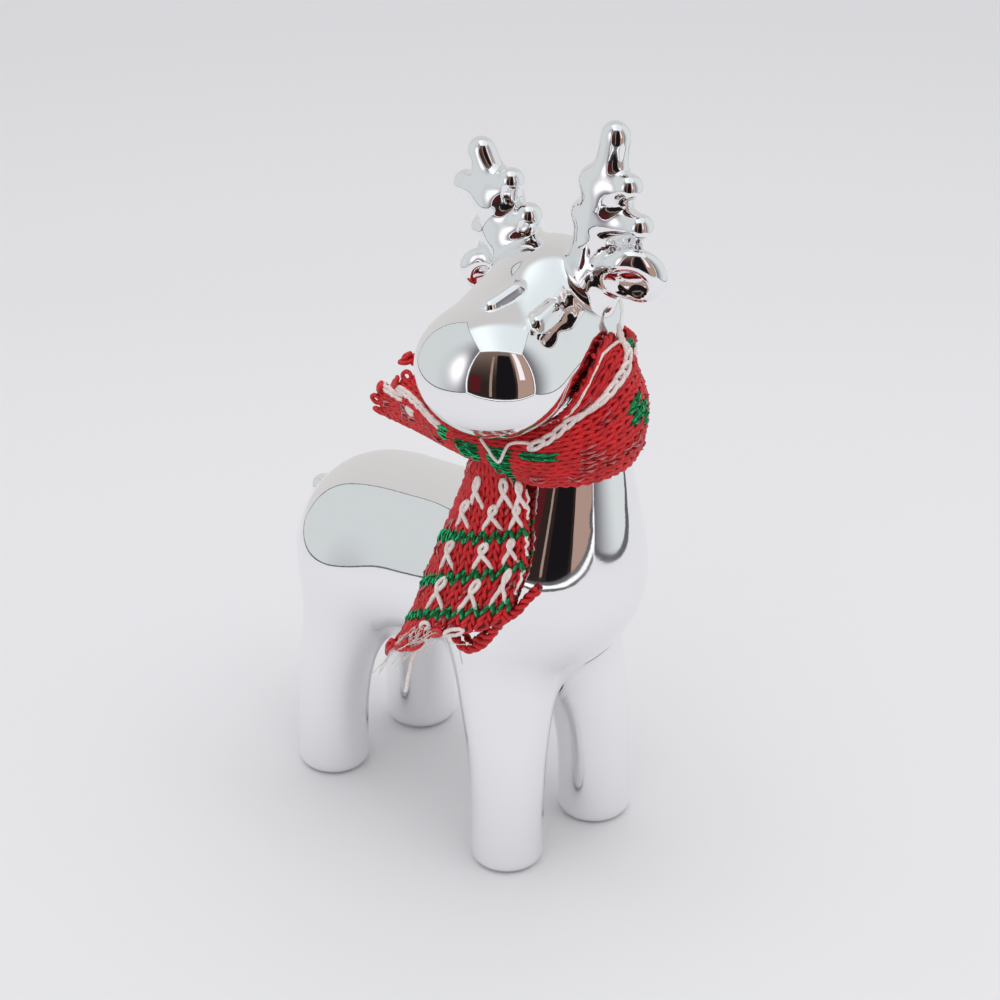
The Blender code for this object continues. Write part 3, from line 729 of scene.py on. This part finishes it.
def make_yarn(name, chains, material, slot, **sizes):
    """One piece of yarn chains. A chain is its points and, where it is looped, their wales and axes."""
    inputs = {"Radius": YARN_RADIUS, "Sides": YARN_SIDES, "Flatness": 1.0, "Twist": 0.0, "Step": YARN_STEP,
              "Unevenness": YARN_UNEVENNESS, "Loop height": LOOP_HEIGHT, "Loop overlap": LOOP_OVERLAP,
              "Loop depth": LOOP_DEPTH, "Material": material}
    inputs.update({key.replace("_", " ").capitalize(): value for key, value in sizes.items()})
    starts = np.cumsum([0] + [len(chain["points"]) for chain in chains])
    edges = [(i, i + 1) for a, b in zip(starts[:-1], starts[1:]) for i in range(a, b - 1)]
    mesh = bpy.data.meshes.new(name)
    mesh.from_pydata(np.concatenate([chain["points"] for chain in chains]).tolist(), edges, [])
    for key, kind, field in (("wale", "FLOAT", "value"), ("along", "FLOAT_VECTOR", "vector"),
                             ("across", "FLOAT_VECTOR", "vector"), ("out", "FLOAT_VECTOR", "vector")):
        if key in chains[0]:
            values = np.concatenate([chain[key] for chain in chains])
            layer = mesh.attributes.new(key, kind, "POINT")
            layer.data.foreach_set(field, values.astype(np.float32).ravel())
    obj = new_piece(name, mesh)
    modifier = obj.modifiers.new("Yarn", "NODES")
    modifier.node_group = yarn_nodes
    for item in yarn_nodes.interface.items_tree:
        if item.in_out == "INPUT" and item.name in inputs:
            modifier[item.identifier] = inputs[item.name]
    settle(obj)
    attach(obj, "root")
    return obj


def yarn_of(course, wale):
    """Colour of the stitch at a course and wale."""
    if not knitted(course, wale):
        return "none"
    for colour, first, last, low, high in STITCH_PATCHES:
        if first <= course <= last and low <= wale <= high:
            return colour
    return "red"


def stitch_run(course, first, last, lift=0.0):
    """Chain of one course from its first to its last stitch, two points to a stitch and one at its end."""
    wales = np.arange(first * 2, last * 2 + 3) / 2
    at = np.full(len(wales), course + 0.5)
    return {"points": on_strip(at, wales, lift), "wale": wales, "along": sample(strip_along, at, wales),
            "across": sample(strip_across, at, wales), "out": sample(strip_out, at, wales)}


def runs_of(colour):
    """Course, first and last wale of every run of stitches of one colour."""
    runs = []
    for course in range(COURSES):
        run = []
        for wale in range(MOST_WALES + 1):
            if yarn_of(course, wale) == colour:
                run.append(wale)
            elif run:
                runs.append((course, run[0], run[-1]))
                run = []
    return runs


scarf_yarns = [
    make_yarn("red_stitches", [stitch_run(*run) for run in runs_of("red")], red_yarn, "scarf_red"),
    make_yarn("green_stitches", [stitch_run(*run) for run in runs_of("green")], green_yarn, "scarf_green"),
    make_yarn("white_stitches", [stitch_run(*run, lift=0.3 * MM) for run in runs_of("white")], white_yarn,
              "scarf_white"),
]

# Scarf, white pattern: plump white chain stitches run round the neck, a thin strand runs along the upper
# edge, and white ribbons of yarn, each one loop with crossed legs, are laid over the hanging end between its
# green bands.
CHAIN_ROUTE = ((18.6, 5.4), (20.5, 6.8), (22.4, 8.0), (24.4, 8.6), (26.6, 8.6), (28.6, 8.5), (29.6, 9.2),
               (29.7, 10.4), (29.2, 11.6))
CHAIN_LINK = 1.1
CHAIN_HALF_WIDTH = 0.33
CHAIN_LIFT = 0.9 * MM
LINK_OUTLINE = ((-0.05, -0.2), (0.5, -1.0), (1.1, -0.75), (1.35, 0.0), (1.1, 0.75), (0.5, 1.0), (-0.05, 0.2))
LINK_LIFTS = np.array((-0.5, 0.1, 0.3, 0.35, 0.3, 0.1, -0.5)) * MM
STRAND_RADIUS = 0.46 * MM
THIN_RADIUS = 0.33 * MM
THIN_ROUTE = ((14.4, 5.8, 1.2), (15.2, 4.8, 1.5), (16.2, 3.4, 1.6), (16.7, 4.6, 1.5), (17.0, 5.7, 1.2),
              (18.4, 6.0, 1.1), (19.0, 5.6, 1.0))
EDGE_ROUTE = ((17.2, 10.2, 0.9), (19.0, 10.6, 0.9), (21.0, 11.2, 0.8), (23.0, 11.6, 0.8), (25.0, 11.7, 0.8),
              (27.0, 11.2, 0.8), (29.0, 10.8, 0.8))
MOTIFS = (
    (59.8, 5.2, 3.0, 0.75), (62.2, 4.2, 2.8, 0.85), (59.9, 8.0, 3.0, 0.75), (62.3, 7.1, 2.8, 0.8),
    (60.2, 9.3, 3.0, 0.55), (62.4, 9.0, 2.8, 0.55),
    (66.3, 3.8, 2.8, 0.9), (66.5, 6.9, 2.8, 0.75), (66.4, 8.8, 2.8, 0.55),
    (70.3, 4.1, 3.8, 1.05), (70.8, 7.0, 3.6, 0.75), (70.3, 8.9, 3.7, 0.5),
)
RIBBON = ((0.5, -1.0), (0.1, -0.4), (-0.15, 0.0), (-0.36, 0.32), (-0.5, 0.0), (-0.36, -0.32), (-0.15, 0.0),
          (0.1, 0.4), (0.5, 1.0))
RIBBON_LIFTS = np.array((0.2, 1.0, 1.3, 1.2, 0.8, 1.3, 1.7, 1.2, 0.2)) * MM
SELVEDGE_RUNS = ((59.5, 63.2), (65.0, 67.6), (69.0, 71.8))
SELVEDGE_INSET = 0.05
SELVEDGE_SWAY = 0.12
SELVEDGE_LIFT = 0.5 * MM


def chain_links(route):
    """One teardrop loop of yarn for each link, its round end lying over the start of the next."""
    route = np.array(route)
    steps = np.append(0, np.cumsum(length(np.diff(route, axis=0))))
    links = []
    for run in np.arange(0, steps[-1], CHAIN_LINK):
        start, end = (np.array([np.interp(place, steps, route[:, k]) for k in (0, 1)])
                      for place in (run, run + CHAIN_LINK))
        along = (end - start) / length(end - start)
        aside = np.array((-along[1], along[0]))
        places = np.array([start + along * CHAIN_LINK * s + aside * CHAIN_HALF_WIDTH * w
                           for s, w in LINK_OUTLINE])
        links.append({"points": on_strip(places[:, 0], places[:, 1], CHAIN_LIFT + LINK_LIFTS)})
    return links


def ribbon(course, wale, height, half_width):
    """A white ribbon: up one leg, round the loop at its top and down the other leg."""
    shape = np.array(RIBBON)
    return {"points": on_strip(course + shape[:, 0] * height, wale + shape[:, 1] * half_width, RIBBON_LIFTS)}


def strand(route):
    """A strand along a route of course, wale and lift in millimetres, kept off the casting."""
    route = np.array(route)
    points = on_strip(route[:, 0], route[:, 1], route[:, 2] * MM) - casting_place
    return {"points": out_of_surface(points, figure, SCARF_CLEARANCE + THIN_RADIUS) + casting_place}


def selvedge(first, last):
    """A white yarn that wanders in and out of the strip's right edge."""
    courses = np.arange(first, last, 0.5)
    wales = WALES - SELVEDGE_INSET + SELVEDGE_SWAY * np.sin(4.5 * courses)
    return {"points": on_strip(courses, wales, SELVEDGE_LIFT)}


white_strands = [strand(THIN_ROUTE), strand(EDGE_ROUTE)] + [selvedge(*run) for run in SELVEDGE_RUNS]
scarf_yarns += [
    make_yarn("white_chain", chain_links(CHAIN_ROUTE), white_yarn, "scarf_white", radius=STRAND_RADIUS,
              unevenness=0.2 * MM),
    make_yarn("white_ribbons", [ribbon(*motif) for motif in MOTIFS], white_yarn, "scarf_white",
              radius=STRAND_RADIUS),
    make_yarn("white_edge_strands", white_strands, white_yarn, "scarf_white", radius=THIN_RADIUS),
]

# Scarf, glitter: a flat metal thread is knitted in with the green yarn, and shows here and there in the
# red. It turns over as it runs, so that it flashes in short stretches.
GLITTER_RADIUS = 0.32 * MM
GLITTER_LIFT = 0.58 * MM
GLITTER_TWIST = 1500.0
RED_GLITTER_SHARE = 0.1
GREEN_GLITTER = (0.04, 0.75, 0.3)
RED_GLITTER = (0.95, 0.3, 0.3)


def glitter_material(name, colour):
    material = bpy.data.materials.new(name)
    material.use_nodes = True
    tree = material.node_tree
    shader = tree.nodes["Principled BSDF"]
    place = add_node(tree, "ShaderNodeTexCoord").outputs["Object"]
    patches = add_node(tree, "ShaderNodeTexNoise", {"Vector": place, "Scale": 900.0, "Detail": 1.0})
    darker = tuple(0.55 * part for part in colour)
    tree.links.new(mix_colour(tree, patches.outputs["Fac"], darker, colour), shader.inputs["Base Color"])
    bump = add_node(tree, "ShaderNodeBump", {"Height": patches.outputs["Fac"], "Distance": 0.05 * MM})
    tree.links.new(bump.outputs["Normal"], shader.inputs["Normal"])
    shader.inputs["Metallic"].default_value = 0.8
    shader.inputs["Roughness"].default_value = 0.3
    return material


chance = np.random.default_rng(7)
red_glints = []
for course, first, last in runs_of("red"):
    for wale in range(first, last + 1):
        if wale < WALES and chance.random() < RED_GLITTER_SHARE:
            red_glints.append(stitch_run(course, wale, wale, GLITTER_LIFT))
glitter_sizes = {"radius": GLITTER_RADIUS, "sides": 4, "flatness": 0.14, "twist": GLITTER_TWIST}
scarf_yarns += [
    make_yarn("green_glitter", [stitch_run(*run, lift=GLITTER_LIFT) for run in runs_of("green")],
              glitter_material("green glitter", GREEN_GLITTER), "scarf_green", **glitter_sizes),
    make_yarn("red_glitter", red_glints, glitter_material("red glitter", RED_GLITTER), "scarf_red",
              **glitter_sizes),
]

# Scarf, raw ends: the knitting is cut, not bound off, so loose loops stand along both ends, clear threads
# fray out of the hanging end, and the red yarn's own end lies across the chest.
RING_RADIUS = 1.0 * MM
RING_LIFT = 0.9 * MM
RING_WAVE = 0.5 * MM
WALE_PITCH = 2.0 * MM
WHITE_RINGS = ((73.9, 4.2), (75.0, 6.9))
RED_RINGS = ((74.9, 5.6), (75.5, 0.4), (75.9, 1.0), (75.8, 0.0), (76.0, 2.6), (76.3, 3.4), (76.4, 4.4),
             (76.0, 3.0), (0.9, 9.3), (1.5, 8.8), (0.1, 2.4), (-0.2, 0.8), (3.4, 7.4), (2.6, 6.2), (0.6, 4.4))
YARN_END = np.array((
    (-20.9, -20.0, 53.0), (-20.7, -22.5, 51.6), (-20.4, -24.7, 52.4), (-19.8, -26.6, 54.0),
    (-19.2, -28.2, 56.4), (-18.5, -29.7, 59.4), (-17.7, -31.5, 61.4), (-16.9, -33.1, 63.0),
    (-16.0, -34.4, 65.3), (-14.4, -36.0, 68.0),
)) * MM
END_KNOTS = np.array((
    (-20.3, -25.3, 53.6), (-20.0, -26.6, 54.9), (-18.6, -30.4, 61.2), (-18.2, -31.4, 62.0),
)) * MM
PLY_RADIUS = 0.52 * MM
PLY_PITCH = 3.6 * MM
THREAD_RADIUS = 0.09 * MM
THREADS = 26
DROP_THREAD = ((76.4, 4.4), 10.5 * MM, 2.8 * MM)


def ring(course, wale):
    """A loose loop that faces out of the strip."""
    turn = np.radians(np.arange(0, 380, 40) + 40 * chance.random())
    lifts = RING_LIFT + RING_WAVE * np.sin(turn + 6 * chance.random())
    return {"points": on_strip(course + RING_RADIUS / COURSE_PITCH * np.sin(turn),
                               wale + RING_RADIUS / WALE_PITCH * np.cos(turn), lifts)}


def small_knot(place):
    turn = np.radians(np.arange(0, 400, 40))
    offsets = np.stack([0.3 * np.cos(turn + 1), 0.9 * np.cos(turn), 0.9 * np.sin(turn)], -1) * MM
    return {"points": place + offsets + casting_place}


def plied(route):
    """Two plies wound round each other along a route, and kept just off the casting."""
    path = smooth_path(route, 8)
    path = out_of_surface(path, figure, SCARF_CLEARANCE + 2 * PLY_RADIUS)
    ahead = np.gradient(path, axis=0)
    ahead /= length(ahead)[:, None]
    out = slope(path, figure)
    aside = np.cross(ahead, out)
    aside /= length(aside)[:, None]
    out = np.cross(aside, ahead)
    run = np.append(0, np.cumsum(length(np.diff(path, axis=0))))
    plies = []
    for half in (0, np.pi):
        turn = (2 * np.pi * run / PLY_PITCH + half)[:, None]
        plies.append({"points": path + PLY_RADIUS * 0.9 * (out * np.cos(turn) + aside * np.sin(turn))
                      + casting_place})
    return plies


def frayed_thread():
    """A fine thread that leaves the end of the strip and wanders off downwards."""
    course, wale = 73.8 + 1.2 * chance.random(), 1.6 + 4.4 * chance.random()
    reach, drift = 1.5 + 3.2 * chance.random(), chance.normal(0, 1.0)
    along = np.linspace(0, 1, 6)
    sway = 0.5 * np.sin(6 * along + 6 * chance.random())
    return {"points": on_strip(course + reach * along, wale + drift * along + sway * along,
                               (0.8 + 1.2 * along * chance.random()) * MM)}


(drop_course, drop_wale), drop, drift = DROP_THREAD
down = np.linspace(0, 1, 6)
drop_start = on_strip(np.array([drop_course]), np.array([drop_wale]), 0.3 * MM)[0]
drop_thread = {"points": drop_start + np.outer(down, (-0.7 * drift, 0.7 * drift, -drop))
               + np.outer(np.sin(4 * down), (0.0, 0.4 * MM, 0.0))}
scarf_yarns += [
    make_yarn("white_loose_loops", [ring(*place) for place in WHITE_RINGS] + [drop_thread], white_yarn,
              "scarf_white", radius=0.42 * MM),
    make_yarn("red_loose_loops", [ring(*place) for place in RED_RINGS], red_yarn, "scarf_red"),
    make_yarn("red_yarn_end", plied(YARN_END) + [small_knot(place) for place in END_KNOTS], red_yarn,
              "scarf_red", radius=PLY_RADIUS, unevenness=0.12 * MM),
    make_yarn("frayed_threads", [frayed_thread() for _ in range(THREADS)], white_yarn, "scarf_white",
              radius=THREAD_RADIUS, sides=4, step=0.4 * MM),
]

# Studio: a wide pale floor under one large soft light. The mirror skin also needs something to reflect, so
# plain cards stand round the figure like the walls and ceiling of a light tent that is open towards the
# camera. Only mirrors see them: they neither show, nor light, nor shade anything else.
TENT_HALF_WIDTH = 245 * MM
TENT_FRONT = 262 * MM
TENT_BACK = -250 * MM
TENT_HEIGHT = 530 * MM
SEAM_WIDTH = 7 * MM
SEAM_INSET = 1 * MM
HEM_WIDTH = 14 * MM
HEM_INSET = 20 * MM
CARD_CELLS = 40
FLOOR_HALF = 3.0
FLOOR_COLOUR = (0.86, 0.86, 0.88)
FLOOR_ROUGHNESS = 0.9
WORLD_COLOUR = (0.62, 0.62, 0.63)
SOFTBOX_AIM = (0.0, 0.0, 0.05)
SOFTBOX_SIZE = 0.95
SOFTBOX_WATTS = 2.7

forward = np.array((np.sin(azimuth), -np.cos(azimuth), 0.0))
rightward = np.array((np.cos(azimuth), np.sin(azimuth), 0.0))
upward = np.array((0.0, 0.0, 1.0))


def tent_place(right, front, up):
    return rightward * right + forward * front + upward * up


def glow_material():
    material = bpy.data.materials.new("card glow")
    material.use_nodes = True
    tree = material.node_tree
    tree.nodes.clear()
    colour = add_node(tree, "ShaderNodeAttribute", attribute_name="glow")
    light = add_node(tree, "ShaderNodeEmission", {"Color": colour.outputs["Color"]})
    add_node(tree, "ShaderNodeOutputMaterial", {"Surface": light.outputs["Emission"]})
    return material


card_material = glow_material()


def card(name, corner, along, up, glow, cells=CARD_CELLS):
    """A glowing card from one corner, with its colour as a function of the shares of its two sides."""
    s, t = np.meshgrid(np.linspace(0, 1, cells + 1), np.linspace(0, 1, cells + 1), indexing="ij")
    points = corner + s[..., None] * along + t[..., None] * up
    colours = np.ones((cells + 1, cells + 1, 4))
    colours[..., :3] = glow(s[..., None], t[..., None])
    mesh = bpy.data.meshes.new(name)
    mesh.from_pydata(points.reshape(-1, 3).tolist(), [], grid_faces(cells + 1, cells + 1))
    layer = mesh.attributes.new("glow", "FLOAT_COLOR", "POINT")
    layer.data.foreach_set("color", colours.astype(np.float32).ravel())
    mesh.materials.append(card_material)
    obj = new_piece(name, mesh)
    obj.visible_camera = False
    obj.visible_diffuse = False
    obj.visible_shadow = False
    obj.visible_transmission = False


def rise(x, start, end):
    """0 up to start, 1 from end on, eased between them."""
    x = np.clip((x - start) / (end - start), 0, 1)
    return x * x * (3 - 2 * x)


def plain(colour):
    return lambda s, t: np.array(colour) + 0 * s


WALL_COLOUR = np.array((0.71, 0.745, 0.75))
WALL_DIM = np.array((0.16, 0.15, 0.17))
LAMP_COLOUR = np.array((1.2, 1.15, 1.2))
CEILING_COLOUR = np.array((0.80, 0.86, 0.88))
BACK_COLOUR = np.array((0.62, 0.61, 0.60))
SEAM_COLOUR = (0.12, 0.12, 0.13)
HEM_COLOUR = (1.1, 1.1, 1.1)


def right_wall_glow(s, t):
    """Dim by the opening, bright farther in."""
    return WALL_DIM + (WALL_COLOUR - WALL_DIM) * rise(1 - s, 0.02, 0.45)


def left_wall_glow(s, t):
    """As the right wall, with a lamp close behind its cloth."""
    spot = np.exp(-(((s - 0.80) / 0.10) ** 2 + ((t - 0.35) / 0.22) ** 2))
    wall = WALL_DIM + (WALL_COLOUR * 0.92 - WALL_DIM) * rise(1 - s, 0.02, 0.5)
    return wall + spot * LAMP_COLOUR


def ceiling_glow(s, t):
    """Grey towards the back, bright farther forward, brightest on the left."""
    bright = CEILING_COLOUR * (0.98 + 0.3 * np.exp(-((s - 0.2) / 0.25) ** 2))
    return BACK_COLOUR + (bright - BACK_COLOUR) * rise(t, 0.2, 0.36)


def back_glow(s, t):
    return BACK_COLOUR * (1.0 + 0.12 * (1 - t))


width = rightward * 2 * TENT_HALF_WIDTH
depth = forward * (TENT_FRONT - TENT_BACK)
tall = upward * TENT_HEIGHT
card("left_card", tent_place(-TENT_HALF_WIDTH, TENT_BACK, 0), depth, tall, left_wall_glow)
card("right_card", tent_place(TENT_HALF_WIDTH, TENT_BACK, 0), depth, tall, right_wall_glow)
card("ceiling_card", tent_place(-TENT_HALF_WIDTH, TENT_BACK, TENT_HEIGHT), width, depth, ceiling_glow)
card("back_card", tent_place(-TENT_HALF_WIDTH, TENT_BACK, 0), width, tall, back_glow)

# The open front: dark warm tones in a few broad upright bands. Each band is its left and right edges, its low
# and high edges, all as shares of the front card, and its colour.
FRONT_LOW = np.array((0.03, 0.018, 0.016))
FRONT_HIGH = np.array((0.2, 0.14, 0.11))
BAND_GAP = 2 * MM
FRONT_BANDS = (
    (0.04, 0.22, 0.08, 0.34, (0.09, 0.012, 0.014)),
    (0.34, 0.37, 0.05, 0.75, (0.36, 0.26, 0.21)),
    (0.42, 0.64, 0.0, 0.8, (0.009, 0.008, 0.009)),
    (0.67, 0.97, 0.0, 0.97, (0.43, 0.29, 0.24)),
    (0.71, 0.80, 0.3, 0.93, (1.0, 0.92, 0.95)),
    (0.965, 0.99, 0.0, 1.0, (0.3, 0.13, 0.08)),
)
card("front_card", tent_place(-TENT_HALF_WIDTH, TENT_FRONT, 0), width, tall,
     lambda s, t: FRONT_LOW + (FRONT_HIGH - FRONT_LOW) * rise(t, 0.2, 1.0))
for number, (start, end, low, high, colour) in enumerate(FRONT_BANDS):
    front = TENT_FRONT - BAND_GAP * (number + 1)
    corner = tent_place(TENT_HALF_WIDTH * (2 * start - 1), front, TENT_HEIGHT * low)
    card(f"front_band_{number + 1}", corner, width * (end - start), tall * (high - low), plain(colour), 1)

# Seams of the tent: thin dark lines where its sides meet, and a bright hem round its opening.
inner_width = TENT_HALF_WIDTH - SEAM_INSET
inner_back = TENT_BACK + SEAM_INSET
inner_top = TENT_HEIGHT - SEAM_INSET
inner_front = TENT_FRONT - HEM_INSET
seam = plain(SEAM_COLOUR)
hem = plain(HEM_COLOUR)
for side, name in ((-1, "left"), (1, "right")):
    x = side * inner_width
    inward = rightward * -side
    card(f"{name}_floor_seam", tent_place(x, inner_back, 0), depth, upward * SEAM_WIDTH, seam, 1)
    card(f"{name}_top_seam", tent_place(x, inner_back, inner_top - SEAM_WIDTH), depth,
         upward * SEAM_WIDTH, seam, 1)
    card(f"{name}_back_seam", tent_place(x, inner_back, 0), inward * SEAM_WIDTH, tall, seam, 1)
    card(f"{name}_hem", tent_place(x, inner_front, 0), inward * HEM_WIDTH, tall, hem, 1)
card("top_hem", tent_place(-inner_width, inner_front, inner_top - HEM_WIDTH), width,
     upward * HEM_WIDTH, hem, 1)
card("floor_hem_dark", tent_place(-inner_width, inner_front, 0), width, upward * HEM_WIDTH * 1.6, seam, 1)
card("floor_hem_light", tent_place(-inner_width, inner_front - SEAM_INSET, HEM_WIDTH * 0.5), width,
     upward * HEM_WIDTH * 0.6, hem, 1)

floor_corners = [(x * FLOOR_HALF, y * FLOOR_HALF, 0) for x, y in ((-1, -1), (1, -1), (1, 1), (-1, 1))]
floor_mesh = bpy.data.meshes.new("floor")
floor_mesh.from_pydata(floor_corners, [], [(0, 1, 2, 3)])
floor_material = bpy.data.materials.new("pale floor")
floor_material.use_nodes = True
floor_shader = floor_material.node_tree.nodes["Principled BSDF"]
floor_shader.inputs["Base Color"].default_value = (*FLOOR_COLOUR, 1.0)
floor_shader.inputs["Roughness"].default_value = FLOOR_ROUGHNESS
floor_mesh.materials.append(floor_material)
floor = new_piece("floor", floor_mesh)

world = bpy.data.worlds.new("studio")
bpy.context.scene.world = world
world.use_nodes = True
world.node_tree.nodes["Background"].inputs["Color"].default_value = (*WORLD_COLOUR, 1.0)
bpy.context.scene.view_settings.view_transform = "Standard"

softbox_place = tent_place(0.05, 0.14, 0.75)
softbox_light = bpy.data.lights.new("top softbox", "AREA")
softbox_light.shape = "SQUARE"
softbox_light.size = SOFTBOX_SIZE
softbox_light.energy = SOFTBOX_WATTS
softbox = bpy.data.objects.new("top softbox", softbox_light)
softbox.location = softbox_place
softbox.rotation_euler = (Vector(SOFTBOX_AIM) - Vector(softbox_place)).to_track_quat("-Z", "Y").to_euler()
softbox.visible_glossy = False
bpy.context.scene.collection.objects.link(softbox)
